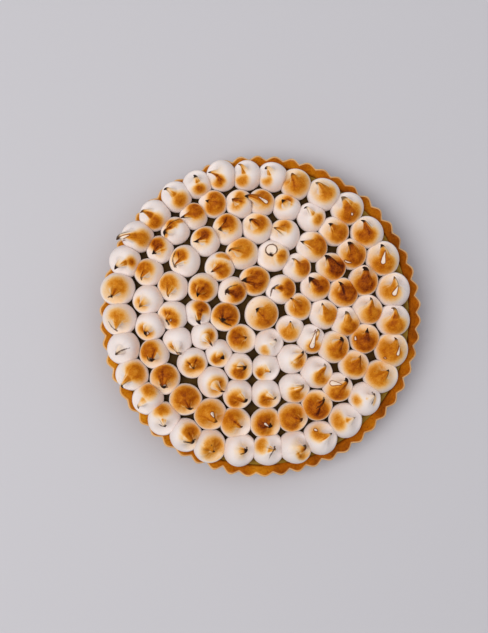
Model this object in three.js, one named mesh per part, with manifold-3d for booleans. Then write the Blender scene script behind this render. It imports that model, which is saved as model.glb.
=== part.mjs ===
// A lemon meringue tart: a fluted shortcrust shell, filled with lemon curd and covered with
// piped meringue kisses that stand in five rings around one in the middle.
// Millimetres, +Z up. The origin is the middle of the shell's underside.
import * as THREE from "three";
import { mergeVertices } from "three/addons/utils/BufferGeometryUtils.js";
import Module from "manifold-3d";

const wasm = await Module();
wasm.setup();

// Pastry shell
const SHELL_DIAMETER = 229; // over the flute crests at the rim
const SHELL_HEIGHT = 25;
const SHELL_FLARE = 5.5; // how much further out the rim stands than the foot
const FLOOR_THICKNESS = 4;
const RIM_WIDTH = 8.5; // from the inner face to the flute crests
const FLUTE_COUNT = 58;
const FLUTE_DEPTH = 2.9;
const FLUTE_TURN = -1.9; // degrees from +X to the first crest
const FLUTE_STEPS = 4; // facets to each flute
const ROUND_STEPS = 60; // facets to each smooth circle

// Lemon curd
const CURD_BELOW_RIM = 1.6;
const SEAT_GAP = 0.3; // clearance between pieces that touch

// Meringue kisses
const KISS_HEIGHT = 18.5;
const KISS_STEPS = 7; // facets around one kiss
const KISS_LEAST_RADIUS = 9.6;
const KISS_MOST_RADIUS = 13.4;
const KISS_SPREAD = 0.56; // radius over the mean distance to the four nearest kisses
const KISS_GRASP = 0.57; // least radius over the distance to the farther neighbour in its ring
const HEIGHT_VARIES = 0.06; // either way, as a share
const LEAN_STRAYS = 0.3; // either way off the ring's own direction, in radians
const LEAN_BEND = 2.4; // how late the tip bends over: 1 is a straight slant
const TIP_LEAN = 0.7; // how far the tip stands off the middle, over the radius
const HAND_DRIFT = [-2.4, 2.8]; // the way every tip also drifts, from the hand that piped them
const PRESS_PASSES = 3; // a corner pressed by one neighbour is tried against the others again
const KISS_PROFILE = [
  // [radius over the widest radius, height over the full height]
  [0.9, 0],
  [1, 0.26],
  [0.84, 0.58],
  [0.42, 0.8],
];

// Each ring was piped clockwise from its start. Kisses bunch together where the hand lagged:
// bunch holds degrees and direction of the once-around lag, waver those of the twice-around one,
// oval holds the stretch in millimetres and its direction. A few kisses stand out of line:
// nudged holds their number, counted from 0, and the millimetres they are off in X and in Y.
const RINGS = [
  {
    name: "outer", count: 31, radius: 98.1, centre: [-3.6, 1.8], start: 102.5,
    bunch: [2.3, -19], waver: [2.2, 13], oval: [1.3, 147],
    nudged: [
      [0, -0.1, 2.1], [3, -2.0, -0.9], [5, 0.3, 1.6], [8, 0.5, -1.4], [9, -1.6, -0.9],
      [11, -0.2, 1.4], [12, 0.2, 3.0], [13, 1.0, 1.8], [16, -0.4, 1.7], [17, -1.8, 0.7],
      [18, -4.5, -0.8], [19, -3.8, -0.6], [20, -3.0, 0.1], [23, 1.6, -0.4], [24, 2.1, -0.6],
      [29, 1.1, 1.6], [30, -0.2, 1.5],
    ],
  },
  {
    name: "second", count: 26, radius: 79.6, centre: [-4.5, 3.4], start: 109.6,
    bunch: [4.1, -58], waver: [2.0, 29], oval: [0.2, 163],
    nudged: [
      [0, -1.1, 1.4], [1, 1.6, -2.8], [2, -0.3, -2.6], [3, -0.4, -2.8], [4, -0.3, -2.1],
      [15, -1.6, -0.6], [19, 2.7, -0.1], [20, 5.1, -0.4], [21, 3.8, -1.1],
    ],
  },
  {
    name: "third", count: 19, radius: 60.5, centre: [-2.3, 3.8], start: 106.4,
    bunch: [1.5, 16], waver: [0.7, 100], oval: [2.0, -21],
    nudged: [
      [0, -3.0, 0.2], [1, -2.0, -0.8], [2, -2.1, -1.1], [7, -2.5, 1.9], [8, -1.8, 0.3],
      [11, -0.4, -2.5], [12, -0.2, -1.5], [15, 1.7, -0.9],
    ],
  },
  {
    name: "fourth", count: 14, radius: 41.5, centre: [-2.1, 3.3], start: 126.8,
    bunch: [3.2, 43], waver: [2.2, 111], oval: [1.2, -5],
    nudged: [
      [1, -2.4, 1.1], [4, 1.5, 0.6], [5, 3.5, -0.6], [9, -1.0, -1.4],
    ],
  },
  {
    name: "inner", count: 8, radius: 23.4, centre: [-1.4, 1.9], start: 144.2,
    bunch: [6.8, 199], waver: [3.2, 84], oval: [1.3, -13],
    nudged: [
      [1, -1.7, 0.3], [3, 3.7, 0.5],
    ],
  },
  {
    name: "middle", count: 1, radius: 0, centre: [0.1, 1.4], start: 0,
    bunch: [0, 0], waver: [0, 0], oval: [0, 0],
    nudged: [],
  },
];

const radians = THREE.MathUtils.degToRad;
const rimRadius = SHELL_DIAMETER / 2;
const innerRadius = rimRadius - RIM_WIDTH;
const curdLevel = SHELL_HEIGHT - CURD_BELOW_RIM;
const kissSeat = curdLevel + SEAT_GAP;

const pastry = new THREE.MeshStandardMaterial({ color: 0xb87528, roughness: 0.85, metalness: 0 });
const curd = new THREE.MeshStandardMaterial({ color: 0xc79a2c, roughness: 0.3, metalness: 0 });
const meringue = new THREE.MeshStandardMaterial({ color: 0xf0e4d4, roughness: 0.5, metalness: 0 });

// Turns a closed geometry into a solid that can be joined and cut.
function solidOf(geometry) {
  const bare = geometry.clone();
  bare.deleteAttribute("normal");
  bare.deleteAttribute("uv");
  const merged = mergeVertices(bare, 1e-4);
  const corners = merged.index.array;
  const kept = [];
  for (let i = 0; i < corners.length; i += 3) {
    const [a, b, c] = [corners[i], corners[i + 1], corners[i + 2]];
    if (a !== b && b !== c && c !== a) kept.push(a, b, c);
  }
  const vertProperties = merged.attributes.position.array;
  const triVerts = new Uint32Array(kept);
  return new wasm.Manifold(new wasm.Mesh({ numProp: 3, vertProperties, triVerts }));
}

// Turns a solid back into a geometry.
function geometryOf(solid) {
  const { vertProperties, triVerts } = solid.getMesh();
  const geometry = new THREE.BufferGeometry();
  geometry.setAttribute("position", new THREE.BufferAttribute(vertProperties, 3));
  geometry.setIndex(new THREE.BufferAttribute(triVerts, 1));
  geometry.computeVertexNormals();
  return geometry;
}

// A profile of [radius, height] points turned about +Z.
function turned(profile, steps) {
  const points = profile.map(([r, z]) => new THREE.Vector2(r, z));
  return new THREE.LatheGeometry(points, steps).rotateX(Math.PI / 2);
}

// Moves every vertex of a geometry by a function of its place.
function reshaped(geometry, move) {
  const position = geometry.attributes.position;
  const place = new THREE.Vector3();
  for (let i = 0; i < position.count; i++) {
    place.fromBufferAttribute(position, i);
    move(place);
    position.setXYZ(i, place.x, place.y, place.z);
  }
  return geometry;
}

// A number from -1 to 1 that is always the same for the same ring, kiss and trait.
function vary(ring, kiss, trait) {
  const spin = Math.sin(ring * 127.1 + kiss * 311.7 + trait * 74.7) * 43758.5453;
  return 2 * (spin - Math.floor(spin)) - 1;
}

// The radius of the cup's inner face, which leans out as the outer one does.
function wallRadius(z) {
  return innerRadius - (SHELL_FLARE * (SHELL_HEIGHT - z)) / SHELL_HEIGHT;
}

// The fluted cup of pastry.
function shellGeometry() {
  const outside = [
    [0, 0],
    [rimRadius - SHELL_FLARE, 0],
    [rimRadius, SHELL_HEIGHT],
    [0, SHELL_HEIGHT],
  ];
  const block = turned(outside, FLUTE_COUNT * FLUTE_STEPS);
  reshaped(block, (place) => {
    const radius = Math.hypot(place.x, place.y);
    if (radius < 1) return;
    const pressed = (FLUTE_DEPTH / 2) * (1 - Math.cos(FLUTE_COUNT * Math.atan2(place.y, place.x)));
    const scale = (radius - pressed) / radius;
    place.x *= scale;
    place.y *= scale;
  });
  block.rotateZ(radians(FLUTE_TURN));
  const above = SHELL_HEIGHT + 1;
  const inside = [
    [0, FLOOR_THICKNESS],
    [wallRadius(FLOOR_THICKNESS), FLOOR_THICKNESS],
    [wallRadius(above), above],
    [0, above],
  ];
  return geometryOf(solidOf(block).subtract(solidOf(turned(inside, ROUND_STEPS))));
}

// The curd fills the cup to a little below the rim.
function curdGeometry() {
  const foot = FLOOR_THICKNESS + SEAT_GAP;
  const profile = [
    [0, foot],
    [wallRadius(foot) - SEAT_GAP, foot],
    [wallRadius(curdLevel) - SEAT_GAP, curdLevel],
    [0, curdLevel],
  ];
  return turned(profile, ROUND_STEPS);
}

// Where every kiss of a ring stands.
function placesOf(ring, ringIndex) {
  return Array.from({ length: ring.count }, (_, i) => {
    const even = radians(ring.start) - (2 * Math.PI * i) / ring.count;
    const lag = radians(ring.bunch[0]) * Math.sin(even - radians(ring.bunch[1]));
    const waver = radians(ring.waver[0]) * Math.sin(2 * (even - radians(ring.waver[1])));
    const angle = even + lag + waver;
    const radius = ring.radius + ring.oval[0] * Math.cos(2 * (even - radians(ring.oval[1])));
    const [, offX, offY] = ring.nudged.find(([number]) => number === i) ?? [i, 0, 0];
    const x = ring.centre[0] + radius * Math.cos(angle) + offX;
    const y = ring.centre[1] + radius * Math.sin(angle) + offY;
    return { ring: ringIndex, index: i, x, y, angle };
  });
}

// How far one kiss stands from another.
function between(kiss, other) {
  return Math.hypot(other.x - kiss.x, other.y - kiss.y);
}

// The distances from a kiss to all the others of a group, nearest first.
function distances(kiss, group) {
  const others = group.filter((other) => other !== kiss);
  return others.map((other) => between(kiss, other)).sort((a, b) => a - b);
}

// Soft meringue spreads until it meets its neighbours, so a kiss is as wide as its place allows.
function spread(kisses) {
  for (const kiss of kisses) {
    const away = distances(kiss, kisses);
    const nearest = (away[0] + away[1] + away[2] + away[3]) / 4;
    const beside = distances(kiss, kisses.filter((other) => other.ring === kiss.ring));
    const grasp = beside.length > 1 ? KISS_GRASP * beside[1] : 0;
    const wanted = Math.max(KISS_SPREAD * nearest, grasp);
    kiss.radius = THREE.MathUtils.clamp(wanted, KISS_LEAST_RADIUS, KISS_MOST_RADIUS);
    kiss.height = KISS_HEIGHT * (1 + HEIGHT_VARIES * vary(kiss.ring, kiss.index, 1));
  }
}

// One kiss: a round dome whose tip is drawn off along the ring. It is pressed flat against
// the kisses of other rings, and runs into those of its own.
function kissGeometry(kiss, kisses) {
  const outline = KISS_PROFILE.map(([r, h]) => [r * kiss.radius, h * kiss.height]);
  const geometry = turned([[0, 0], ...outline, [0, kiss.height]], KISS_STEPS);
  const along = kiss.angle + Math.PI / 2 + LEAN_STRAYS * vary(kiss.ring, kiss.index, 2);
  const lean = TIP_LEAN * kiss.radius;
  const tip = [lean * Math.cos(along) + HAND_DRIFT[0], lean * Math.sin(along) + HAND_DRIFT[1]];
  reshaped(geometry, (place) => {
    const share = Math.max(place.z / kiss.height, 0) ** LEAN_BEND;
    place.x += share * tip[0];
    place.y += share * tip[1];
  });
  const near = (other) => between(kiss, other) < 2 * KISS_MOST_RADIUS;
  const pressing = kisses.filter((other) => other.ring !== kiss.ring && near(other));
  for (let pass = 0; pass < PRESS_PASSES; pass++) {
    for (const other of pressing) {
      const toward = new THREE.Vector2(other.x - kiss.x, other.y - kiss.y);
      const apart = toward.length();
      toward.normalize();
      const meeting = (apart ** 2 + kiss.radius ** 2 - other.radius ** 2) / (2 * apart) - SEAT_GAP / 2;
      reshaped(geometry, (place) => {
        const past = place.x * toward.x + place.y * toward.y - meeting;
        if (past <= 0) return;
        place.x -= past * toward.x;
        place.y -= past * toward.y;
      });
    }
  }
  return geometry.translate(kiss.x, kiss.y, kissSeat);
}

// A ring of kisses is one piece, as each runs into the next. Where the ring reaches over the
// pastry rim, its underside steps up on to it.
function ringGeometry(members, kisses) {
  const [near, far] = [wallRadius(curdLevel) - SEAT_GAP, rimRadius + 5];
  const [low, high] = [curdLevel - 1, SHELL_HEIGHT + SEAT_GAP];
  const rim = turned([[near, low], [far, low], [far, high], [near, high], [near, low]], ROUND_STEPS);
  let joined = solidOf(kissGeometry(members[0], kisses));
  for (const kiss of members.slice(1)) joined = joined.add(solidOf(kissGeometry(kiss, kisses)));
  return geometryOf(joined.subtract(solidOf(rim)));
}

function pieceOf(name, geometry, material) {
  const mesh = new THREE.Mesh(geometry, material);
  mesh.name = name;
  return mesh;
}

const tart = new THREE.Group();
tart.add(pieceOf("pastry_shell", shellGeometry(), pastry));
tart.add(pieceOf("lemon_curd", curdGeometry(), curd));

const kisses = RINGS.flatMap(placesOf);
spread(kisses);
RINGS.forEach((ring, ringIndex) => {
  const members = kisses.filter((kiss) => kiss.ring === ringIndex);
  tart.add(pieceOf("kisses_" + ring.name, ringGeometry(members, kisses), meringue));
});

export default tart;
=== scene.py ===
# The looks of a lemon meringue tart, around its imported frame: a fluted shortcrust shell,
# lemon curd, and rings of piped meringue kisses browned with a blowtorch. Metres, +Z up.
import math

import bpy
import numpy as np
from mathutils import Matrix, Vector


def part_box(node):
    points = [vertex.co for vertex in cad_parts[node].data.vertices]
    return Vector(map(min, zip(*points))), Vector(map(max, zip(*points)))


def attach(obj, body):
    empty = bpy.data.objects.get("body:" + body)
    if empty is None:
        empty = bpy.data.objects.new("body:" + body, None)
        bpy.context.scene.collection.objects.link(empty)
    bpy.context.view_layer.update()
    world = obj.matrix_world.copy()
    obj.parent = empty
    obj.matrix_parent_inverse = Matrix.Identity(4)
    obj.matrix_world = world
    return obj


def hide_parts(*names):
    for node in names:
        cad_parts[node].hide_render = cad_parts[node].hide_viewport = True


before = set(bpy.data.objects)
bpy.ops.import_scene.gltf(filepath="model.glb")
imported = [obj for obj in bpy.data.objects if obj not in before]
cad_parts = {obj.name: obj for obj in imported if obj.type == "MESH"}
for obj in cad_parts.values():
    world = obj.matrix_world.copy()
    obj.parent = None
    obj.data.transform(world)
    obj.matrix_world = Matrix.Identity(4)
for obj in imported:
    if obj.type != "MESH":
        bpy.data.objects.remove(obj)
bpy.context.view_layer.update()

# ---------------------------------------------------------------- Pastry shell
# A cup of shortcrust, pressed into a fluted tart tin, trimmed level and baked golden brown.
# It is short dough: dry, finely crumbly, a little uneven at the rim, darker where it is thin.

SHELL_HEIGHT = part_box("pastry_shell")[1].z
RIM_RADIUS = 0.1145
SHELL_FLARE = 0.0055
RIM_WIDTH = 0.0085
SHELL_FLOOR = 0.004
FLUTES = 58
FLUTE_DEPTH = 0.0029
FLUTE_TURN = math.radians(-1.9)
FLUTE_ROUND = 0.4
FLUTE_UNEVEN = 0.16
FOOT_SHALLOWER = 0.35
CORNER = 0.0016
SECTION_HUB = 0.006
WALL_WAVE, RIM_WAVE, LIP_WAVE, TOP_WAVE = 0.00016, 0.0003, 0.0004, 0.00022
SHELL_COLUMNS = FLUTES * 12
CRUST_TONES = [(0.28, (0.24, 0.054, 0.0010)), (0.42, (0.38, 0.094, 0.0012)),
               (0.57, (0.46, 0.138, 0.0020)), (0.75, (0.60, 0.225, 0.0080))]
CRUST_FRECKLES = [(0.34, (0.60, 0.48, 0.40)), (0.50, (1, 1, 1))]
CRUST_PALE_EDGE_AND_HIGHLIGHT = (0.86, 0.56, 0.26, 1)
EDGE_DOWN, EDGE_IN, EDGE_SHARP = 0.0030, 0.0016, 0.0007


def ease(low, high, x):
    """0 below low, 1 above high, and three times the square less twice the cube between them."""
    t = np.clip((x - low) / (high - low), 0, 1)
    return t * t * (3 - 2 * t)


def ripples(seed, turn, along, size, waves=9, finest=24):
    """A sum of sine waves of mixed directions: each counts a whole number of times round the
    turn, and runs along the second parameter with a slope and a start drawn from the seed."""
    draw = np.random.default_rng(seed)
    total = 0
    for _ in range(waves):
        around = draw.integers(1, finest + 1)
        slope = draw.uniform(-1, 1) * finest / 0.1
        total = total + np.sin(around * turn + slope * along + draw.uniform(0, 2 * math.pi))
    return total * size / math.sqrt(waves)


def closed_surface(name, rings, first, last):
    """A mesh of one or more closed bodies. rings holds each body's rows of points, which run
    round anticlockwise as the rows go up; first and last are the points that close its ends."""
    bodies, rows, columns, _ = rings.shape
    grid = np.arange(rows * columns).reshape(rows, columns)
    beside = np.roll(grid, -1, axis=1)
    quads = np.stack([grid[:-1], beside[:-1], beside[1:], grid[1:]], -1).reshape(-1, 4)
    ends = np.array([rows * columns, rows * columns + 1])
    low = np.stack([beside[0], grid[0], np.full(columns, ends[0])], -1)
    high = np.stack([grid[-1], beside[-1], np.full(columns, ends[1])], -1)
    fans = np.concatenate([low, high])
    size = rows * columns + 2
    shift = (np.arange(bodies) * size)[:, None, None]
    quads = (quads[None] + shift).reshape(-1, 4)
    fans = (fans[None] + shift).reshape(-1, 3)
    points = np.concatenate([rings.reshape(bodies, -1, 3), first[:, None], last[:, None]], 1)

    mesh = bpy.data.meshes.new(name)
    mesh.vertices.add(bodies * size)
    mesh.vertices.foreach_set("co", points.astype(np.float32).ravel())
    corners = np.concatenate([quads.ravel(), fans.ravel()])
    mesh.loops.add(len(corners))
    mesh.loops.foreach_set("vertex_index", corners.astype(np.int32))
    starts = np.concatenate([np.arange(len(quads)) * 4, quads.size + np.arange(len(fans)) * 3])
    mesh.polygons.add(len(starts))
    mesh.polygons.foreach_set("loop_start", starts.astype(np.int32))
    mesh.update(calc_edges=True)
    mesh.shade_smooth()
    piece = bpy.data.objects.new(name, mesh)
    bpy.context.scene.collection.objects.link(piece)
    return piece


def wall_radius(z):
    """The cup's inner face, which leans out as it rises."""
    return RIM_RADIUS - RIM_WIDTH - SHELL_FLARE * (SHELL_HEIGHT - z) / SHELL_HEIGHT


def corner(centre, start, stop, size, steps=5):
    """Points of a quarter round: centre plus size in a direction that turns from start to stop."""
    angle = np.radians(np.linspace(start, stop, steps))
    return np.stack([centre[0] + size * np.cos(angle), centre[1] + size * np.sin(angle)], -1)


def shell_points():
    """The section runs from under the middle out to the foot, up the outer wall, over the rounded
    rim and down the inner wall to the cup's floor. Turned about +Z, its outer half is pressed in
    between the flutes' crests: by the flute depth, times a mix of the squared sine of half the
    flutes' angle and of one less the size of its cosine, which makes round crests and sharper
    valleys, and less near the foot. All of it is moved a little by ripples."""
    foot = RIM_RADIUS - SHELL_FLARE
    inner = wall_radius(SHELL_HEIGHT)
    lean = math.degrees(math.atan2(SHELL_FLARE, SHELL_HEIGHT))
    under = np.stack([np.linspace(SECTION_HUB, foot - CORNER * 1.4, 26), np.zeros(26)], -1)
    heel = corner((foot - CORNER, CORNER), -90, -lean, CORNER)
    crown = corner((RIM_RADIUS - CORNER * 1.1, SHELL_HEIGHT - CORNER), -lean, 90, CORNER, 6)
    wall = np.linspace(heel[-1], crown[0], 17)[1:-1]
    brow = corner((inner + CORNER, SHELL_HEIGHT - CORNER), 90, 180 - lean, CORNER, 6)
    top = np.linspace(crown[-1], brow[0], 6)[1:-1]
    basin = np.array([wall_radius(SHELL_FLOOR), SHELL_FLOOR])
    inside = np.linspace(brow[-1], basin, 13)[1:]
    middle = np.array([SECTION_HUB, SHELL_FLOOR])
    floor = np.linspace(basin, middle, 12)[1:]
    section = np.concatenate([under, heel, wall, crown, top, brow, inside, floor])
    outer = len(under) + len(heel) + len(wall) + len(crown)

    turn = np.linspace(0, 2 * math.pi, SHELL_COLUMNS, endpoint=False) + FLUTE_TURN
    radius = section[:, :1] + 0 * turn
    height = section[:, 1:] + 0 * turn
    length = np.cumsum(np.hypot(*np.diff(section, axis=0, prepend=section[:1]).T))[:, None]

    share = np.zeros(len(section))
    share[:outer] = ease(foot - 0.012, foot - 0.001, section[:outer, 0])
    share[outer:outer + len(top)] = np.linspace(1, 0.15, len(top) + 2)[1:-1]
    share = share[:, None]
    uneven = 1 + ripples(3, turn, 0, FLUTE_UNEVEN, finest=29)
    flute = FLUTES * (turn - FLUTE_TURN) / 2
    pressed = FLUTE_ROUND * np.sin(flute) ** 2 + (1 - FLUTE_ROUND) * (1 - np.abs(np.cos(flute)))
    pressed = FLUTE_DEPTH * pressed * uneven
    weak = 1 - FOOT_SHALLOWER * ease(0.012, 0, height)
    rim = ease(SHELL_HEIGHT - 0.004, SHELL_HEIGHT, height)
    radius = radius - pressed * share * weak
    radius = radius + ripples(5, turn, length, WALL_WAVE, 12, 60) * ease(0.02, 0.05, radius)
    radius = radius + ripples(6, turn, 0, RIM_WAVE, 8, 17) * rim
    within = ease(RIM_RADIUS - 0.0055, inner - 0.0005, radius) * ease(0.012, 0.02, height)
    radius = radius + ripples(8, turn, 0, LIP_WAVE, 12, 70) * within * ease(0.1, 0.102, radius)
    height = height + ripples(7, turn, length, TOP_WAVE, 12, 90) * rim - 0.0001 * rim
    height = np.clip(height, 0, SHELL_HEIGHT)
    radius = np.minimum(radius, RIM_RADIUS)
    return np.stack([radius * np.cos(turn), radius * np.sin(turn), height], -1)


def node(material, kind, inputs=None, **settings):
    """Adds a shader node, with its settings and inputs. An input is a value or a linked output."""
    made = material.node_tree.nodes.new(kind)
    for key, value in settings.items():
        setattr(made, key, value)
    for key, value in (inputs or {}).items():
        if isinstance(value, bpy.types.NodeSocket):
            material.node_tree.links.new(value, made.inputs[key])
        else:
            made.inputs[key].default_value = value
    return made


def ramp(material, factor, *stops):
    """A colour ramp from (place, colour) stops, smooth between them. Colours are linear."""
    made = node(material, "ShaderNodeValToRGB", {"Fac": factor})
    points = made.color_ramp.elements
    while len(points) < len(stops):
        points.new(0.5)
    for point, (place, colour) in zip(points, stops):
        point.position = place
        point.color = (*colour, 1)
    return made.outputs["Color"]


def noise(material, scale, detail=2.0, roughness=0.5):
    """Cloudy noise on the piece's own coordinates; scale counts its patches to the metre."""
    place = node(material, "ShaderNodeTexCoord").outputs["Object"]
    inputs = {"Vector": place, "Scale": scale, "Detail": detail, "Roughness": roughness}
    return node(material, "ShaderNodeTexNoise", inputs).outputs["Fac"]


def math_node(material, operation, first, second=0.0, third=0.0, clamp=False):
    """One arithmetic step, kept between 0 and 1 if clamped."""
    inputs = {0: first, 1: second, 2: third}
    made = node(material, "ShaderNodeMath", inputs, operation=operation, use_clamp=clamp)
    return made.outputs["Value"]


def mixed(material, factor, first, second, blend="MIX"):
    """Two colours mixed by a factor."""
    made = node(material, "ShaderNodeMix", data_type="RGBA", blend_type=blend)
    for socket, value in ((0, factor), (6, first), (7, second)):
        if isinstance(value, bpy.types.NodeSocket):
            material.node_tree.links.new(value, made.inputs[socket])
        else:
            made.inputs[socket].default_value = value
    return made.outputs[2]


def surface_material(name, **sockets):
    """A material with one shader, whose plain values are set on its own sockets."""
    material = bpy.data.materials.new(name)
    material.use_nodes = True
    shader = material.node_tree.nodes["Principled BSDF"]
    for key, value in sockets.items():
        shader.inputs[key.replace("_", " ")].default_value = value
    return material, shader


def feed(material, shader, **outputs):
    """Links outputs to the shader's sockets."""
    for key, value in outputs.items():
        material.node_tree.links.new(value, shader.inputs[key.replace("_", " ")])


def baked_shortcrust():
    """Golden brown that wanders between amber and red-brown in soft patches, freckled with darker
    crumbs, palest along the sharp outer edge of the rim and deepest under it. The pale edge is
    partly the pastry's own and partly a painted highlight. The patches are lighter towards -X and
    darker towards +X, which is painted light from the window on that side."""
    crust, shader = surface_material("baked_shortcrust", Roughness=0.85, Specular_IOR_Level=0.06)
    patches = noise(crust, 60, 4, 0.62)
    # Painted light: the patches are pushed lighter towards -X, the side of the window light, and
    # darker towards +X.
    place = node(crust, "ShaderNodeTexCoord").outputs["Object"]
    side = node(crust, "ShaderNodeSeparateXYZ", {0: place})
    patches = math_node(crust, "MULTIPLY_ADD", side.outputs["X"], -1.2, patches)
    tone = ramp(crust, patches, *CRUST_TONES)
    freckles = ramp(crust, noise(crust, 800, 3, 0.7), *CRUST_FRECKLES)
    tone = mixed(crust, 0.8, tone, freckles, "MULTIPLY")
    # The pale edge tone is partly the pastry's own and partly a painted highlight.
    edge = node(crust, "ShaderNodeAttribute", attribute_name="edge").outputs["Fac"]
    tone = mixed(crust, math_node(crust, "MULTIPLY", edge, 0.85), tone, CRUST_PALE_EDGE_AND_HIGHLIGHT)
    grain = noise(crust, 1500, 4, 0.65)
    relief = math_node(crust, "MULTIPLY_ADD", patches, 0.8, grain)
    bump = node(crust, "ShaderNodeBump", {"Height": relief, "Strength": 0.35, "Distance": 0.0006})
    feed(crust, shader, Base_Color=tone, Normal=bump.outputs["Normal"])
    return crust


points = shell_points()
low_end, high_end = points[0].mean(0), points[-1].mean(0)
shell = closed_surface("fluted_shortcrust_shell", points[None], low_end[None], high_end[None])
# The pale band along the rim's sharp outer top edge is partly the pastry's own paler edge and
# partly a painted highlight.
reach = np.hypot(points[..., 0], points[..., 1])
crest = ease(EDGE_DOWN, 0.0, SHELL_HEIGHT - points[..., 2])
crest = crest * ease(EDGE_IN, EDGE_SHARP, reach.max(0) - reach)
pale = np.concatenate([crest.ravel(), [0, 0]]).astype(np.float32)
shell.data.attributes.new("edge", "FLOAT", "POINT").data.foreach_set("value", pale)
shell.data.materials.append(baked_shortcrust())
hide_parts("pastry_shell")
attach(shell, "root")

# ---------------------------------------------------------------- Lemon curd
# Set curd, poured into the baked shell. It is smooth and softly shiny, and climbs the pastry
# a little at its edge. It shows in the gaps between the kisses and along one side.

CURD_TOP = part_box("lemon_curd")[1].z
CURD_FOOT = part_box("lemon_curd")[0].z
CURD_CLIMB, CLIMB_WIDTH = 0.0005, 0.0012
CURD_SWELL = 0.00012
BARE_FROM, BARE_FADE = 0.100, 0.004
CURD_COLUMNS = 240
# The deep tones are painted shade, for the curd in the shaded gaps between the kisses; the bare
# tones are the curd's own colour.
CURD_PAINTED_SHADE = [(0.3, (0.038, 0.017, 0.001)), (0.7, (0.080, 0.038, 0.002))]
CURD_BARE = [(0.3, (0.23, 0.128, 0.012)), (0.7, (0.34, 0.195, 0.022))]


def curd_points():
    """Rows from under the middle out to the wall, up it, and back in over the top. The top
    swells by a few tenths of a millimetre and rises towards the wall by a falling exponential."""
    turn = np.linspace(0, 2 * math.pi, CURD_COLUMNS, endpoint=False)
    edge = wall_radius(CURD_TOP) - 0.0001
    foot = wall_radius(CURD_FOOT) - 0.0003
    under = np.stack([np.linspace(0.01, foot, 8), np.full(8, CURD_FOOT)], -1)
    side = np.linspace((foot, CURD_FOOT), (edge, CURD_TOP), 8)[1:]
    over = np.stack([edge - 0.096 * np.linspace(0, 1, 60)[1:] ** 1.6, np.full(59, CURD_TOP)], -1)
    section = np.concatenate([under, side, over])
    radius = section[:, :1] + 0 * turn
    height = section[:, 1:] + 0 * turn
    top = ease(CURD_TOP - 0.0002, CURD_TOP, height)
    height = height + top * CURD_CLIMB * np.exp(-(edge - radius) / CLIMB_WIDTH)
    height = height + top * ripples(11, turn, radius, CURD_SWELL, 10, 14)
    return np.stack([radius * np.cos(turn), radius * np.sin(turn), height], -1)


def set_curd():
    """Olive lemon yellow at the rim, where the curd is bare, and darker and browner inside, under
    the rings of kisses, which is painted shade. It is a little cloudy, under a thin smooth skin."""
    curd, shader = surface_material("set_lemon_curd", Roughness=0.35, Specular_IOR_Level=0.08)
    place = node(curd, "ShaderNodeTexCoord").outputs["Object"]
    across = node(curd, "ShaderNodeVectorMath", {0: place, 1: (1, 1, 0)}, operation="MULTIPLY")
    reach = node(curd, "ShaderNodeVectorMath", {0: across.outputs["Vector"]}, operation="LENGTH")
    clouds = noise(curd, 90, 3, 0.6)
    # Painted shade: inside the bare radius the curd takes the darker tones, eased out over the
    # fade.
    past = math_node(curd, "SUBTRACT", reach.outputs["Value"], BARE_FROM)
    clear_of_painted_shade = math_node(curd, "DIVIDE", past, BARE_FADE)
    clear_of_painted_shade = math_node(curd, "ADD", clear_of_painted_shade, math_node(curd, "SUBTRACT", clouds, 0.5), clamp=True)
    tone = mixed(curd, clear_of_painted_shade, ramp(curd, clouds, *CURD_PAINTED_SHADE), ramp(curd, clouds, *CURD_BARE))
    bump = node(curd, "ShaderNodeBump", {"Height": noise(curd, 240, 2), "Strength": 0.15,
                                         "Distance": 0.0004})
    feed(curd, shader, Base_Color=tone, Normal=bump.outputs["Normal"])
    return curd


points = curd_points()
low_end, high_end = points[0].mean(0), points[-1].mean(0)
curd_fill = closed_surface("lemon_curd_filling", points[None], low_end[None], high_end[None])
curd_fill.data.materials.append(set_curd())
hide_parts("lemon_curd")
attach(curd_fill, "root")

# ---------------------------------------------------------------- Piped kisses
# Meringue piped through a plain round nozzle, clockwise, in rings round one kiss in the middle.
# The nozzle is flicked away anticlockwise, so each soft dome ends in a tail that curls over.
# Then a blowtorch browns the tops in patches and chars the ends of the tails.
#
# Each ring says how its kisses stand: start is the direction of kiss 0, from which they count
# clockwise; bunch and waver are the degrees and directions of the once-around and twice-around
# lag of the hand; oval is the ring's stretch and its direction; and nudged moves single kisses
# by millimetres. Lengths are otherwise metres, and directions degrees, anticlockwise from +X.
#
# Then it says how its kisses were torched: browned grades the patch's size from 0, none,
# to 9, all over; deep grades its colour from 0, cream, to 9, near black; and toward says where
# it lies as the keys of a number pad lie around 5, the top of the dome: 8 is towards the tail,
# 2 behind it, 4 towards the tart's middle and 6 towards the rim.
#
# Last come millimetres from the middle of the kiss, seen from above: tips says where each tail
# ends; drops are folds that stayed white in the browned skin, with a dark edge; folds are ones
# that browned, and scorches are dark lines. All are strokes through (x, y, half width) points.

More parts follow.
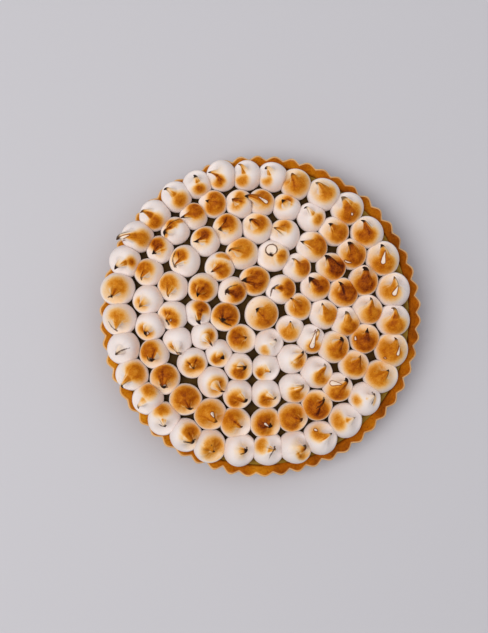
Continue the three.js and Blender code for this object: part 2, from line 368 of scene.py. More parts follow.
RINGS = [
    dict(name="outer", count=31, radius=0.0981, centre=(-0.0036, 0.0018), start=102.5,
         bunch=(2.3, -19), waver=(2.2, 13), oval=(0.0013, 147),
         nudged={0: (-0.1, 2.1), 3: (-2.0, -0.9), 5: (0.3, 1.6), 8: (0.5, -1.4),
                 9: (-1.6, -0.9), 11: (-0.2, 1.4), 12: (0.2, 3.0), 13: (1.0, 1.8),
                 16: (-0.4, 1.7), 17: (-1.8, 0.7), 18: (-4.5, -0.8), 19: (-3.8, -0.6),
                 20: (-3.0, 0.1), 23: (1.6, -0.4), 24: (2.1, -0.6), 29: (1.1, 1.6),
                 30: (-0.2, 1.5)},
         browned="2217455645761321205433504513332",
         deep="3213365425422023162324430254656",
         toward="7775514142441149198711425544744",
         tips=[(-9.5, 1), (-6.4, 6.1), (-5.9, 3.5), (-3.3, 6.5), (-6.9, 6.4), (-5.7, 6.6),
               (-5.9, 7.3), (-2.9, 9.3), (-1.3, 9), (-3.3, 8), (0.5, 8.7), (3.9, 5.1), (4.6, 4.6),
               (5.5, 3), (7.2, 4.2), (6.2, 3), (4.2, 2.3), (5, 2), (2.5, -1.6), (6.5, -3),
               (2, -4.3), (-5.7, -6.6), (-5.1, -9.3), (-4.4, -5), (-1.6, -8.2), (-3.6, -6.4),
               (-6.3, -6.7), (-14, -3.7), (-9.5, 0.5), (-8.5, 3), (-2.5, 4.8)],
         drops=[(5, [(1.8, -5.7, 0.9), (1.5, -4.9, 0.5)]),
                (7, [(-1.8, -3.4, 1.6), (-1.3, 0.5, 0.9), (-0.7, 4, 0.2)]),
                (8, [(-1.6, -3.2, 1.6), (0.9, 1.8, 0.3)]),
                (10, [(2.2, -3, 1.2), (3.9, 2.6, 0.3)]),
                (10, [(-6.3, -5.6, 0.6), (-5.6, -6, 0.4)]),
                (14, [(-4.6, 6.4, 0.9), (-3.6, 6, 0.6)]),
                (27, [(-12.6, -3.2, 0.5), (-8.6, -1.8, 1.2), (-4.4, -0.4, 0.3)])],
         folds=[(12, [(5, -4, -0.3), (6.8, -0.5, 0.2), (6.2, 3.2, -0.3)])],
         scorches=[(12, [(4.6, 4.6, 0.3), (5.6, 2.6, 0.3), (5.2, -0.6, 0.2), (3.6, -3.2, 0.1)]),
                   (16, [(4.2, 2.3, 0.45), (2.2, -0.6, 0.4), (0, -5.9, 0.1)]),
                   (17, [(5, 2.2, 0.3), (3.8, -0.7, 0.5), (0.4, -1.6, 0.2)]),
                   (18, [(1.4, 2, 0.35), (1.5, 1.7, 0.3)]),
                   (19, [(-1, -3.5, 0.3), (3, -3.9, 0.5), (6.5, -3, 0.3)]),
                   (20, [(-2.6, -3.5, 0.3), (-0.4, -4.9, 0.5), (2, -4.3, 0.3)]),
                   (23, [(-4.4, -4.6, 0.45), (0, -1.5, 0.3), (5.6, -0.1, 0.1)]),
                   (24, [(-6.8, -2, 0.1), (-4.8, -6.2, 0.3), (-1.4, -8.3, 0.4)]),
                   (25, [(-6.3, -6.1, 0.3), (-4.8, -5.2, 0.5), (-3.4, -6.2, 0.3)])]),
    dict(name="second", count=26, radius=0.0796, centre=(-0.0045, 0.0034), start=109.6,
         bunch=(4.1, -58), waver=(2.0, 29), oval=(0.0002, 163),
         nudged={0: (-1.1, 1.4), 1: (1.6, -2.8), 2: (-0.3, -2.6), 3: (-0.4, -2.8),
                 4: (-0.3, -2.1), 15: (-1.6, -0.6), 19: (2.7, -0.1), 20: (5.1, -0.4),
                 21: (3.8, -1.1)},
         browned="95632677686699778876215526",
         deep="54453678484564643655645777",
         toward="59692222325336512413996663",
         tips=[(-5.2, 1), (-5.7, 2.3), (-12.5, 3), (-4.2, 3.9), (-6, 4.5), (-5.3, 4), (-4.3, 7.2),
               (-2, 8.4), (0.5, 8.5), (1, 7.4), (3.3, 7), (3.9, 7.2), (4.6, 5), (6, 0.5), (4, -1),
               (5, -1.5), (5.2, -3.9), (5.4, -5.8), (1.5, -5.5), (-1, -5.2), (-2.4, -6.4),
               (-5.2, -6), (-3.7, -6.5), (-5, -4), (-6.5, -4.5), (-9, -2)],
         drops=[(2, [(2.8, -1, 1.3), (-2.4, 1.9, 0.4)]),
                (6, [(-5.6, -5.5, 0.5), (-3.8, -6.6, 0.7), (-1.6, -6.9, 0.3)]),
                (9, [(-7.3, 0.9, 0.6), (-7.2, -0.7, 0.8)]),
                (11, [(-4.7, 3.2, 1.7), (-2, 3, 1.1), (1, 2.6, 0.3)]),
                (14, [(-0.9, 0.4, 1), (1.5, -1.4, 0.3)]),
                (16, [(1.3, 1.4, 1.2), (2.4, -0.8, 0.5)]),
                (18, [(0.6, -4.3, 1), (1.2, -3.6, 0.4)]),
                (19, [(-1.6, -3.8, 0.9), (-1.1, -3.1, 0.4)]),
                (20, [(-1.2, -5, 0.9), (-0.9, -4, 0.4)])],
         folds=[(24, [(4.2, 6.6, 1.4), (-2.6, 3.6, 1.7), (-5.6, -0.4, 1.5), (-6.3, -4, 0.7)])],
         scorches=[(12, [(4.6, 5.2, 0.5), (3.2, 1.8, 0.5), (-1.5, -1.6, 0.3)]),
                   (17, [(0.4, -4.2, 0.2), (2.2, -6.3, 0.6), (5.4, -5.8, 0.3)]),
                   (18, [(-2.6, -3.6, 0.3), (-1.2, -6, 0.6), (2.2, -5.7, 0.3)]),
                   (19, [(-4.2, -2.4, 0.3), (-3.5, -5, 0.6), (-1, -5.5, 0.3)]),
                   (20, [(-3.8, -3.8, 0.3), (-2.4, -6.6, 0.5)]),
                   (24, [(4.2, 8.1, 0.1), (-3.2, 4.8, 0.25), (-7, 0, 0.3), (-7.2, -4, 0.2)])]),
    dict(name="third", count=19, radius=0.0605, centre=(-0.0023, 0.0038), start=106.4,
         bunch=(1.5, 16), waver=(0.7, 100), oval=(0.0020, -21),
         nudged={0: (-3.0, 0.2), 1: (-2.0, -0.8), 2: (-2.1, -1.1), 7: (-2.5, 1.9),
                 8: (-1.8, 0.3), 11: (-0.4, -2.5), 12: (-0.2, -1.5), 15: (1.7, -0.9)},
         browned="5536785633343415534",
         deep="7426985644454413248",
         toward="6693363666668899666",
         tips=[(-6.9, -1.5), (-6, 5), (-8.5, 3.7), (-9, 3.3), (-5.6, 7.4), (-4.5, 7.3), (-1.5, 7),
               (3, 7), (4.5, 6.5), (5.6, 3.3), (6.5, -1), (6.6, -2.4), (8.7, -6), (1.5, -3.5),
               (3.5, -9.3), (-3, -5), (-2.3, -8), (-5.5, -5.6), (-8.5, -1.5)],
         drops=[(15, [(-1.2, -3.6, 0.6), (-0.8, -2.8, 0.3)])],
         scorches=[(14, [(-5, -4, 0.1), (0, -8.7, 0.3), (1.6, -8.5, 0.4), (3.5, -9.3, 0.3)]),
                   (15, [(-3.9, -3.8, 0.3), (-2.7, -6.2, 0.6)]),
                   (17, [(-6, 7, 0.1), (-9, 1, 0.3), (-7, -4.6, 0.3)])]),
    dict(name="fourth", count=14, radius=0.0415, centre=(-0.0021, 0.0033), start=126.8,
         bunch=(3.2, 43), waver=(2.2, 111), oval=(0.0012, -5),
         nudged={1: (-2.4, 1.1), 4: (1.5, 0.6), 5: (3.5, -0.6), 9: (-1.0, -1.4)},
         browned="56356533253346",
         deep="42268343067576",
         toward="76236639399718",
         tips=[(-6.4, -4.5), (-9.5, -0.3), (-0.8, -0.4), (-4.6, 5.4), (-5.2, 6.8), (-2, 7.8),
               (3, 7.2), (7, 6), (2, -2), (5, 0.5), (3.5, -3.5), (6, -7.6), (2.3, -8.2),
               (-3.5, -7)],
         drops=[(2, [(-1.7, 3.5, 3.5), (-1.3, 3.3, 3.4)]),
                (6, [(-0.3, -4.5, 1.8), (1, 0.6, 0.9), (2.8, 6.2, 0.2)])],
         folds=[(0, [(-1.4, 7, 1), (2.6, 7.2, 1.7), (6, 5.2, 0.9)])],
         scorches=[(2, [(-1, -0.7, 0.6), (-3.6, -0.2, 0.35), (-5.5, 2, 0.3), (-5.6, 4.5, 0.3),
                        (-4.2, 6.5, 0.28), (-2, 7.5, 0.25), (0.5, 7, 0.25), (2.1, 5.1, 0.25),
                        (2.4, 2.7, 0.22), (1.4, 0.7, 0.15)]),
                   (9, [(-1.2, 0.7, 0.3), (5, 0.5, 0.4)])]),
    dict(name="inner", count=8, radius=0.0234, centre=(-0.0014, 0.0019), start=144.2,
         bunch=(6.8, 199), waver=(3.2, 84), oval=(0.0013, -13),
         nudged={1: (-1.7, 0.3), 3: (3.7, 0.5)},
         browned="58575179",
         deep="97531147",
         toward="45352325",
         tips=[(-5, -2), (-9.8, -1), (-6.8, 0.3), (-7, 6), (-0.5, 5.2), (3.9, 3.2), (3, 1),
               (-1.5, -4)],
         scorches=[(0, [(-4.9, -2.4, 0.5), (-4.9, 0.4, 0.4), (-2.2, 2.6, 0.3), (3.4, 4.1, 0.2)]),
                   (2, [(-2.6, 2.6, 0.4), (-6.6, 0.5, 0.5), (-7.5, -5, 0.15)]),
                   (7, [(-4.3, -1, 0.3), (-1.5, -4, 0.9), (4.2, -6.6, 0.2)])]),
    dict(name="middle", count=1, radius=0, centre=(0.0001, 0.0014), start=0,
         bunch=(0, 0), waver=(0, 0), oval=(0, 0),
         nudged={}, browned="7", deep="3", toward="3",
         tips=[(-3.2, 1.8)]),
]

# How a kiss is shaped. Rises, roots and depths are shares of its own radius, and what varies
# from kiss to kiss is drawn by the traits' numbers.
KISS_SEAT = CURD_TOP - 0.0003
KISS_LEAST, KISS_MOST = 0.0098, 0.0123
KISS_SPREAD, KISS_GRASP = 0.550, 0.532
BELLY_RISE, DOME_RISE = 0.34, 0.96
FLICK = 0.0072
TAIL_LENGTH = 0.0076
TAIL_ROOT = 0.60
TAIL_TAPER = 1.15
TAIL_STUB = 0.00025
TAIL_DROOP = math.radians(98)
TAIL_CURL = 0.9
TAIL_RIDGE = 0.20
LEAST_STRETCH, MOST_STRETCH = 0.6, 1.6
OVAL, THREE_SIDED = 0.022, 0.014
CREASES, CREASE_DEPTH, CREASE_WIDTH = 5, 0.06, 0.17
AROUND, DOME_ROWS, TAIL_ROWS = 60, 25, 23
PRESS_ROUND = 0.00018
PRESS_INTO = 0.00012
PRESSED_BELOW, FREE_ABOVE = 0.0095, 0.0125
RIM_CLEAR = 0.0001
STEP_BEFORE, STEP_PAST = 0.0012, 0.0002

# What the torch does. The skirt round a stroke is in millimetres, as the strokes are.
STROKE_SKIRT = 1.2
DROP_PROUD = 0.0004
FOLD_BROWN = 0.50
FLAME_SLANT = 0.62
PATCH_REACH = 0.92
PATCH_EDGE = (-0.30, 0.34)
PATCH_BROWN, BROWN_STEP = 0.53, 0.031
TAIL_BROWN, TAIL_STEP = 0.22, 0.07
CREASE_BROWN = 0.22
UNBROWNED_BELOW, BROWNED_ABOVE = 0.0062, 0.0106
CHAR_FROM, CHAR_FADE = 0.87, 0.09
FLANK_TURN, FLANK_WIDTH = 0.62, 0.15
MERINGUE_TONES = [(0.00, (0.84, 0.745, 0.705)), (0.10, (0.85, 0.66, 0.48)),
                  (0.24, (0.84, 0.515, 0.225)), (0.40, (0.76, 0.34, 0.055)),
                  (0.56, (0.60, 0.20, 0.008)), (0.72, (0.42, 0.098, 0.002)),
                  (0.88, (0.21, 0.034, 0.002)), (1.00, (0.07, 0.010, 0.002))]
DROP_WHITE = (0.90, 0.77, 0.65, 1)
DROP_EDGE = (0.24, 0.055, 0.006, 1)
SCORCH_BROWN = (0.065, 0.019, 0.005, 1)
SPECK_BROWN = (0.26, 0.075, 0.010, 1)
CHAR_BLACK = (0.020, 0.008, 0.005, 1)
TRAITS = {"dome": 1, "tail": 3, "droop": 4, "curl": 5, "oval": 6, "three sides": 7, "brown": 9,
          "tail brown": 10, "char": 11, "root": 12, "taper": 13, "ridge": 14, "flank": 15,
          "line": 16, "crease place": 20, "crease width": 30, "crease start": 40}


def vary(ring, kiss, trait, number=0):
    """A number from -1 to 1 that is always the same for the same ring, kiss and trait, which is
    numbered if a kiss has several: the fraction left over from a large multiple of a sine."""
    spin = np.sin(ring * 127.1 + kiss * 311.7 + (TRAITS[trait] + number) * 74.7) * 43758.5453
    return 2 * (spin - np.floor(spin)) - 1


def ring_places(ring):
    """Even steps clockwise, each moved by the once-around and the twice-around lag, on a circle
    that the oval stretches."""
    even = math.radians(ring["start"]) - 2 * math.pi * np.arange(ring["count"]) / ring["count"]
    lag = math.radians(ring["bunch"][0]) * np.sin(even - math.radians(ring["bunch"][1]))
    waver = math.radians(ring["waver"][0]) * np.sin(2 * (even - math.radians(ring["waver"][1])))
    angle = even + lag + waver
    radius = ring["radius"] + ring["oval"][0] * np.cos(2 * (even - math.radians(ring["oval"][1])))
    x = ring["centre"][0] + radius * np.cos(angle)
    y = ring["centre"][1] + radius * np.sin(angle)
    off = np.array([ring["nudged"].get(number, (0, 0)) for number in range(ring["count"])])
    return np.stack([x + off[:, 0] / 1000, y + off[:, 1] / 1000, angle], -1)


def kiss_radii(places, ring_of):
    """Each kiss spreads to a share of the mean distance to its four nearest, and at least far
    enough to run into both neighbours of its own ring."""
    apart = np.hypot(*(places[:, None, :2] - places[None, :, :2]).transpose(2, 0, 1))
    near = np.sort(apart, axis=1)[:, 1:5].mean(1)
    own = np.sort(np.where(ring_of[:, None] == ring_of[None], apart, 9.0), axis=1)
    grasp = np.where(own[:, 2 % own.shape[1]] < 1, own[:, 2 % own.shape[1]], 0)
    return np.clip(np.maximum(KISS_SPREAD * near, KISS_GRASP * grasp), KISS_LEAST, KISS_MOST)


def kiss_axes(radius, heading, reach, ring, index):
    """A kiss's axis rises from its base and bends over, by an eased turn, the way the nozzle
    was flicked, and its tail then curls sideways. It is turned and stretched so that the tip
    lies where it should. Its radius is an ellipse's up the dome and a cone's along the tail;
    the two meet as the fourth root of the sum of their fourth powers."""
    drawn = reach / FLICK
    belly = BELLY_RISE * radius[:, None]
    dome = DOME_RISE * radius[:, None] * (1 + 0.05 * vary(ring, index, "dome"))[:, None]
    tail = TAIL_LENGTH * (np.sqrt(drawn) * (1 + 0.2 * vary(ring, index, "tail")))[:, None]
    whole = belly + dome + tail
    swing = np.linspace(-np.arcsin(belly / dome), math.radians(80), DOME_ROWS, axis=-1)[:, 0]
    on_dome = belly + dome * np.sin(swing)
    share = np.linspace(0, 1, TAIL_ROWS + 1)[1:]
    on_tail = on_dome[:, -1:] + (whole - on_dome[:, -1:]) * share
    run = np.concatenate([on_dome, on_tail], 1)
    round_part = radius[:, None] * np.sqrt(np.clip(1 - ((run - belly) / dome) ** 2, 0, 1))
    left = np.clip((whole - run) / (whole - belly - 0.5 * dome), 0, 1)
    root = TAIL_ROOT * (1 + 0.12 * vary(ring, index, "root"))[:, None] * radius[:, None]
    taper = (TAIL_TAPER + 0.30 * vary(ring, index, "taper"))[:, None]
    thin_part = root * left ** taper * ease(0.3 * (belly + dome), 0.9 * (belly + dome), run)
    girth = (round_part ** 4 + thin_part ** 4) ** 0.25 + TAIL_STUB * ease(0.5, 0, left)
    droop = TAIL_DROOP * np.minimum(np.cbrt(drawn), 1.15)
    droop = droop * (1 + 0.10 * vary(ring, index, "droop"))
    tilt = droop[:, None] * ease(0.42 * (belly + dome), whole, run)
    curl = (TAIL_CURL + 1.2 * vary(ring, index, "curl"))[:, None]
    aim = heading[:, None] + curl * ease(0.80 * whole, 1.03 * whole, run)
    step = np.diff(run, axis=1, prepend=run[:, :1])
    toward = np.stack([np.cos(aim), np.sin(aim)], -1)
    flat = np.cumsum((np.sin(tilt) * step)[..., None] * toward, axis=1)
    end = flat[:, -1]
    off = heading - np.arctan2(end[:, 1], end[:, 0])
    stretch = np.clip(reach / np.hypot(end[:, 0], end[:, 1]), LEAST_STRETCH, MOST_STRETCH)
    across, ahead = np.cos(off) * stretch, np.sin(off) * stretch
    turned = np.stack([across, -ahead, ahead, across], -1).reshape(-1, 1, 2, 2)
    flat = (turned @ flat[..., None])[..., 0]
    aim = aim + off[:, None]
    rise = np.cumsum(np.cos(tilt) * step, axis=1)
    return run / whole, girth, tilt, aim, flat, rise


def creases(run, ring, index):
    """Folds that run down from the tip, where the nozzle tore away. Each is a bell round the
    kiss, at a place drawn for it, and fades out down the dome at a height drawn for it."""
    turn = np.linspace(0, 2 * math.pi, AROUND, endpoint=False)
    total = 0
    for crease in range(CREASES):
        place = math.pi * (1 + 0.8 * vary(ring, index, "crease place", crease))[:, None]
        width = (CREASE_WIDTH + 0.06 * vary(ring, index, "crease width", crease))[:, None]
        bell = np.exp(-((turn[None] - place) / width) ** 2)[:, None]
        start = (0.52 + 0.12 * vary(ring, index, "crease start", crease))[:, None]
        total = total + bell * ease(start, start + 0.2, run)[..., None]
    return total


def kiss_rings(run, girth, tilt, aim, flat, rise, ring, index):
    """Round each point of the axis lies a circle square to it, a little out of true: once per
    kiss it is stretched twice-around and three-times-around by a few hundredths. Along the
    back of the tail the circle has a bell-shaped bump, which makes a low ridge, and the
    creases cut into it."""
    turn = np.linspace(0, 2 * math.pi, AROUND, endpoint=False)
    twice = OVAL * np.cos(2 * turn[None] - 3 * vary(ring, index, "oval")[:, None])
    thrice = THREE_SIDED * np.cos(3 * turn[None] - 3 * vary(ring, index, "three sides")[:, None])
    size = girth[..., None] * (1 + twice + thrice)[:, None, :]
    lean = 0.5 * vary(ring, index, "ridge")[:, None]
    bell = np.exp(-((turn[None] - math.pi - lean) / 0.34) ** 2)
    size = size * (1 + TAIL_RIDGE * bell[:, None] * ease(0.52, 0.75, run)[..., None])
    size = size * (1 - CREASE_DEPTH * creases(run, ring, index))
    out = np.stack([np.cos(tilt) * np.cos(aim), np.cos(tilt) * np.sin(aim), -np.sin(tilt)], -1)
    left = np.stack([-np.sin(aim), np.cos(aim), np.zeros_like(aim)], -1)
    circle = out[:, :, None] * np.cos(turn)[:, None] + left[:, :, None] * np.sin(turn)[:, None]
    middle = np.concatenate([flat, rise[..., None]], -1)
    return middle[:, :, None] + size[..., None] * circle


def pressed_flat(points, places, radii, members):
    """Where a dome would pass the plane on which it meets a neighbour, it is pushed back by a
    softened ramp, the logarithm of one plus an exponential. Above the domes nothing is pushed,
    so the tails stay free."""
    soft = 1 - ease(PRESSED_BELOW, FREE_ABOVE, points[..., 2])
    for step in range(1, 9):
        away = places[None, :, :2] - places[members, None, :2]
        apart = np.hypot(away[..., 0], away[..., 1])
        pick = np.argsort(apart, axis=1)[:, step]
        rows = np.arange(len(members))
        gap = apart[rows, pick]
        aim = away[rows, pick] / gap[:, None]
        mine, theirs = radii[members], radii[pick]
        plane = (gap ** 2 + mine ** 2 - theirs ** 2) / (2 * gap) + PRESS_INTO
        past = points[..., 0] * aim[:, 0, None, None] + points[..., 1] * aim[:, 1, None, None]
        past = past - plane[:, None, None]
        back = PRESS_ROUND * np.logaddexp(0, past / PRESS_ROUND) * soft
        points[..., :2] -= back[..., None] * aim[:, None, None]
    return points


def facing(points):
    """Unit normals, from the cross product of the steps round each ring and up the kiss."""
    around = np.roll(points, -1, axis=2) - np.roll(points, 1, axis=2)
    normal = np.cross(around, np.gradient(points, axis=1))
    return normal / np.maximum(np.linalg.norm(normal, axis=-1, keepdims=True), 1e-15)


def rounded(stroke):
    """The stroke's points with the corners cut three times over: each cut puts a quarter and
    three quarters of the way along every leg in place of the corner between two legs."""
    path = np.array(stroke)
    for _ in range(3):
        near = 0.75 * path[:-1] + 0.25 * path[1:]
        far = 0.25 * path[:-1] + 0.75 * path[1:]
        cuts = np.stack([near, far], 1).reshape(-1, 3)
        path = np.concatenate([path[:1], cuts, path[-1:]])
    return path


def inside_stroke(marks):
    """How far inside a stroke its marks lie: the half width less the distance to the leg."""
    return marks[..., 2] - np.hypot(marks[..., 0], marks[..., 1])


def stroke_marks(points, strokes):
    """Where each point lies on the stroke that covers it best, seen from above, in millimetres:
    how far to the leg's left, how far past its ends, and the half width there, which blends
    from end to end. Well away from the stroke the half width drops to far below nought."""
    marks = np.zeros((*points.shape[:-1], 3)) + [0, 0, -5]
    for kiss, stroke in strokes:
        seen = points[kiss, ..., :2] * 1000
        path = rounded(stroke)
        for (x, y, half), (to_x, to_y, to_half) in zip(path, path[1:]):
            leg = np.array([to_x - x, to_y - y])
            length = np.hypot(*leg)
            along = (seen - [x, y]) @ leg / length
            left = (seen - [x, y]) @ [-leg[1], leg[0]] / length
            held = np.clip(along, 0, length)
            wide = half + (to_half - half) * held / length
            outside = np.hypot(left, along - held) - np.maximum(wide, 0)
            wide = wide - 3 * np.maximum(outside - STROKE_SKIRT, 0)
            found = np.stack([left, np.abs(along - held), wide], -1)
            better = inside_stroke(found) > inside_stroke(marks[kiss])
            marks[kiss] = np.where(better[..., None], found, marks[kiss])
    return marks


def torching(points, run, radius, angle, browned, deep, toward, ring, index):
    """How brown each point is, and how charred. The flame slants down on one side of the dome
    and browns what faces it: the patch is 1 where the surface lies square to the flame, and
    eases to 0 as the sine of the angle between them passes the patch's reach. The surface's
    own normal is softened by the direction out of the dome's middle. The ridge of the tail
    browns deeper, its creases deeper still. Its end chars, and so does a line down one flank."""
    ahead = np.stack([-np.sin(angle), np.cos(angle), np.zeros_like(angle)], -1)
    outward = np.stack([np.cos(angle), np.sin(angle), np.zeros_like(angle)], -1)
    rows, columns = np.divmod(toward - 1, 3)
    slant = (FLAME_SLANT * (1.08 - browned / 10))[:, None]
    flame = slant * ((rows - 1)[:, None] * ahead + (columns - 1)[:, None] * outward) + [0, 0, 1]
    flame = flame / np.linalg.norm(flame, axis=-1, keepdims=True)
    own = facing(points)
    out = points - np.array([0, 0, 0.45]) * radius[:, None, None, None]
    out = out / np.linalg.norm(out, axis=-1, keepdims=True)
    blend = 0.50 + 0.25 * ease(0.55, 0.80, run)[..., None, None]
    normal = blend * own + (1 - blend) * out
    normal = normal / np.linalg.norm(normal, axis=-1, keepdims=True)
    square = np.clip((normal * flame[:, None, None]).sum(-1), 0, 1)
    off = np.sqrt(1 - square ** 2)
    reach = (PATCH_REACH * np.sqrt(browned / 10))[:, None, None]
    late = ease(0.55, 0.95, run)[..., None]
    patch = 1 - ease(*PATCH_EDGE, off - reach - 0.10 * late)
    strength = PATCH_BROWN + BROWN_STEP * deep + 0.04 * vary(ring, index, "brown")
    brown = patch * strength[:, None, None] * ease(0, 1, browned)[:, None, None]
    ridge = late * ease(0.25, 0.85, own[..., 2])
    strength = TAIL_BROWN + TAIL_STEP * deep + 0.15 * vary(ring, index, "tail brown")
    lit = np.where(rows == 2, 1.0, np.where(toward == 5, 0.8, 0.45))
    tail = ridge * strength[:, None, None] * lit[:, None, None]
    high = ease(UNBROWNED_BELOW, BROWNED_ABOVE, points[..., 2])
    brown = np.maximum(brown, tail) * high * (1 + CREASE_BROWN * creases(run, ring, index))
    begin = (CHAR_FROM - 0.014 * deep)[:, None]
    char = ease(begin, begin + CHAR_FADE, run)[..., None] * ease(-0.7, 0.3, own[..., 2])
    char = char * (0.85 + 0.04 * deep + 0.35 * vary(ring, index, "char"))[:, None, None]
    turn = np.linspace(0, 2 * math.pi, AROUND, endpoint=False)
    flank = math.pi + np.where(vary(ring, index, "flank") > -0.2, FLANK_TURN, -FLANK_TURN)
    line = np.exp(-((turn[None] - flank[:, None]) / FLANK_WIDTH) ** 2)[:, None]
    line = line * (ease(0.60, 0.80, run) * ease(1.3, 0.9, run))[..., None]
    strength = np.clip(0.5 + 0.9 * vary(ring, index, "line"), 0, 1)
    char = np.maximum(char, line * strength[:, None, None])
    return brown, np.clip(char, 0, 1)


def stroke_node(material, name):
    """How far inside a stroke the surface lies, from the three numbers that mark it."""
    marks = node(material, "ShaderNodeAttribute", attribute_name=name).outputs["Vector"]
    aside = node(material, "ShaderNodeVectorMath", {0: marks, 1: (1, 1, 0)}, operation="MULTIPLY")
    aside = aside.outputs["Vector"]
    apart = node(material, "ShaderNodeVectorMath", {0: aside}, operation="LENGTH")
    half = node(material, "ShaderNodeSeparateXYZ", {0: marks}).outputs["Z"]
    return math_node(material, "SUBTRACT", half, apart.outputs["Value"])


def stepped(material, value, low, high):
    """0 below low, 1 above high, eased between them."""
    inputs = {"Value": value, "From Min": low, "From Max": high}
    made = node(material, "ShaderNodeMapRange", inputs, interpolation_type="SMOOTHSTEP")
    return made.outputs["Result"]


def speckled(material, brown):
    """Rare tiny round specks: a quarter of the cells of a web have one at their middle, and
    they show more where the skin is brown."""
    place = node(material, "ShaderNodeTexCoord").outputs["Object"]
    cells = node(material, "ShaderNodeTexVoronoi", {"Vector": place, "Scale": 330.0}).outputs
    drawn = node(material, "ShaderNodeSeparateXYZ", {0: cells["Color"]}).outputs["X"]
    chosen = stepped(material, drawn, 0.72, 0.80)
    middle = stepped(material, cells["Distance"], 0.15, 0.05)
    speck = math_node(material, "MULTIPLY", chosen, middle)
    return math_node(material, "MULTIPLY", speck, stepped(material, brown, -0.25, 0.6))


def torched_meringue():
    """Satin white that goes through cream, amber and toffee brown to near black as the torch
    marks deepen. Soft clouds and fine blisters break up the marks, and wrinkle the surface. The
    white drops, the scorched lines, the specks and the char lie over it in that order."""
    white, shader = surface_material("torched_meringue", Roughness=0.5, Specular_IOR_Level=0.06,
                                     Subsurface_Weight=0.06, Subsurface_Scale=0.0010)
    shader.inputs["Subsurface Radius"].default_value = (1.0, 0.75, 0.55)
    brown = node(white, "ShaderNodeAttribute", attribute_name="browned").outputs["Fac"]
    char = node(white, "ShaderNodeAttribute", attribute_name="charred").outputs["Fac"]
    clouds = math_node(white, "SUBTRACT", noise(white, 240, 3, 0.6), 0.5)
    blisters = math_node(white, "SUBTRACT", noise(white, 1100, 3, 0.65), 0.5)
    mottle = math_node(white, "MULTIPLY", clouds, 0.9)
    mottle = math_node(white, "MULTIPLY_ADD", blisters, 0.6, mottle)
    mottle = math_node(white, "MULTIPLY", mottle, math_node(white, "POWER", brown, 0.75))
    marked = math_node(white, "MULTIPLY_ADD", mottle, 0.8, brown, True)
    tone = ramp(white, marked, *MERINGUE_TONES)
    drop = stroke_node(white, "drop")
    inside, around = stepped(white, drop, 0.1, 0.45), stepped(white, drop, -0.65, -0.05)
    edge = math_node(white, "MULTIPLY", math_node(white, "SUBTRACT", around, inside), 0.85)
    tone = mixed(white, edge, tone, DROP_EDGE)
    tone = mixed(white, math_node(white, "MULTIPLY", inside, 0.92), tone, DROP_WHITE)
    ragged = math_node(white, "ADD", clouds, blisters)
    scorch = math_node(white, "ADD", stroke_node(white, "scorch"), ragged)
    line = math_node(white, "MULTIPLY", stepped(white, scorch, -0.45, 0.20), 0.90)
    tone = mixed(white, line, tone, SCORCH_BROWN)
    tone = mixed(white, speckled(white, brown), tone, SPECK_BROWN)
    tone = mixed(white, char, tone, CHAR_BLACK)
    ruck = math_node(white, "SUBTRACT", noise(white, 520, 3, 0.6), 0.5)
    ruck = math_node(white, "ABSOLUTE", ruck)
    wrinkle = math_node(white, "MULTIPLY_ADD", ruck, -2.2, noise(white, 1500, 4, 0.6))
    wrinkle = math_node(white, "MULTIPLY", wrinkle, math_node(white, "ADD", brown, 0.06))
    bump = node(white, "ShaderNodeBump", {"Height": wrinkle, "Strength": 0.6, "Distance": 0.0006})
    feed(white, shader, Base_Color=tone, Normal=bump.outputs["Normal"])
    return white


def digits(text):
    """A string of digits as an array of numbers."""
    return np.array([float(digit) for digit in text])


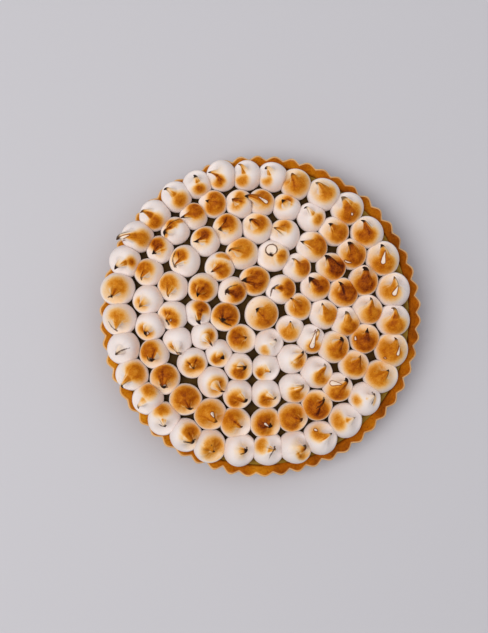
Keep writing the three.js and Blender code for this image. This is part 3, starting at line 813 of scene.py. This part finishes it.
meringue = torched_meringue()
all_places = np.concatenate([ring_places(ring) for ring in RINGS])
ring_of = np.concatenate([np.full(ring["count"], number) for number, ring in enumerate(RINGS)])
all_radii = kiss_radii(all_places, ring_of)
for number, ring in enumerate(RINGS):
    members = np.flatnonzero(ring_of == number)
    index = np.arange(ring["count"])
    radius, angle = all_radii[members], all_places[members, 2]
    tips = np.array(ring["tips"]) / 1000
    heading, reach = np.arctan2(tips[:, 1], tips[:, 0]), np.hypot(tips[:, 0], tips[:, 1])
    run, girth, tilt, aim, flat, rise = kiss_axes(radius, heading, reach, number, index)
    points = kiss_rings(run, girth, tilt, aim, flat, rise, number, index)
    brown, char = torching(points, run, radius, angle, digits(ring["browned"]),
                           digits(ring["deep"]), digits(ring["toward"]), number, index)
    fold = inside_stroke(stroke_marks(points, ring.get("folds", [])))
    brown = np.maximum(brown, FOLD_BROWN * ease(-1.8, 1.0, fold))
    drop = stroke_marks(points, ring.get("drops", []))
    scorch = stroke_marks(points, ring.get("scorches", []))
    proud = DROP_PROUD * ease(-0.3, 0.5, inside_stroke(drop))
    points = points + facing(points) * proud[..., None]
    points = pressed_flat(points, all_places, all_radii, members)
    points[..., :2] += all_places[members, None, None, :2]
    points[..., 2] += KISS_SEAT

    # Where a kiss spreads past the curd, its foot is lifted onto the shell's rim.
    reach = np.hypot(points[..., 0], points[..., 1])
    wall = wall_radius(CURD_TOP)
    step_up = ease(wall - STEP_BEFORE, wall + STEP_PAST, reach)
    ground = KISS_SEAT + (SHELL_HEIGHT + RIM_CLEAR - KISS_SEAT) * step_up
    points[..., 2] = np.maximum(points[..., 2], ground)
    base, tip = points[:, 0].mean(1), points[:, -1].mean(1)
    kisses = closed_surface("piped_kisses_" + ring["name"], points[:, :-1], base, tip)

    # The torch's marks go with the mesh: a number for brown and char, three for the strokes.
    lone, triple = ("FLOAT", "value"), ("FLOAT_VECTOR", "vector")
    for name, marks, (kind, field) in [("browned", brown[..., None], lone),
                                       ("charred", char[..., None], lone),
                                       ("drop", drop, triple), ("scorch", scorch, triple)]:
        rows = marks[:, :-1].reshape(len(members), -1, marks.shape[-1])
        ends = np.stack([marks[:, 0].mean(1), marks[:, -1].mean(1)], 1)
        values = np.concatenate([rows, ends], 1).astype(np.float32)
        kisses.data.attributes.new(name, kind, "POINT").data.foreach_set(field, values.ravel())

    kisses.data.materials.append(meringue)
    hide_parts("kisses_" + ring["name"])
    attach(kisses, "root")

# ---------------------------------------------------------------- Studio
# A pale grey floor, a broad soft light from the left, a weaker one from the right, and a camera
# that looks straight down on the tart, very nearly.

FLOOR_SIZE = 16.0
FLOOR_DROP = 0.0002
CAMERA_DISTANCE = 0.624
CAMERA_TILT = math.radians(2)
CAMERA_SIDE = math.radians(225)
LOOK_AT = Vector((-0.0122, -0.0007, SHELL_HEIGHT))

half = FLOOR_SIZE / 2
floor_mesh = bpy.data.meshes.new("studio_floor")
floor_mesh.from_pydata([(-half, -half, 0), (half, -half, 0), (half, half, 0), (-half, half, 0)],
                       [], [(0, 1, 2, 3)])
floor = bpy.data.objects.new("studio_floor", floor_mesh)
bpy.context.scene.collection.objects.link(floor)
floor.location.z = -FLOOR_DROP
matt, shader = surface_material("studio_grey", Roughness=0.8, Base_Color=(0.56, 0.546, 0.57, 1))
floor.data.materials.append(matt)


def soft_light(name, place, size, power, colour):
    """A square area light that faces the tart."""
    lamp = bpy.data.lights.new(name, "AREA")
    lamp.size = size
    lamp.energy = power
    lamp.color = colour
    light = bpy.data.objects.new(name, lamp)
    light.location = place
    light.rotation_euler = (-Vector(place)).to_track_quat("-Z", "Y").to_euler()
    bpy.context.scene.collection.objects.link(light)


soft_light("window", (-1.0, -0.2, 1.75), 1.2, 24, (1.0, 0.99, 0.98))
soft_light("room", (0.9, 0.7, 1.8), 2.0, 11.5, (0.97, 0.975, 1.0))
world = bpy.data.worlds.new("studio")
world.use_nodes = True
world.node_tree.nodes["Background"].inputs["Color"].default_value = (0.95, 0.96, 1.0, 1)
world.node_tree.nodes["Background"].inputs["Strength"].default_value = 0.40
bpy.context.scene.world = world
bpy.context.scene.view_settings.view_transform = "Standard"

toward = Vector((math.sin(CAMERA_TILT) * math.cos(CAMERA_SIDE),
                 math.sin(CAMERA_TILT) * math.sin(CAMERA_SIDE), math.cos(CAMERA_TILT)))
right = Vector((0, 1, 0)).cross(toward).normalized()
up = toward.cross(right)
lens = bpy.data.cameras.new("camera")
lens.lens = 50
lens.sensor_width = 36
lens.clip_start = 0.01
camera = bpy.data.objects.new("camera", lens)
camera.matrix_world = Matrix.Translation(LOOK_AT + CAMERA_DISTANCE * toward) @ Matrix(
    (right, up, toward)).transposed().to_4x4()
bpy.context.scene.collection.objects.link(camera)
bpy.context.scene.camera = camera
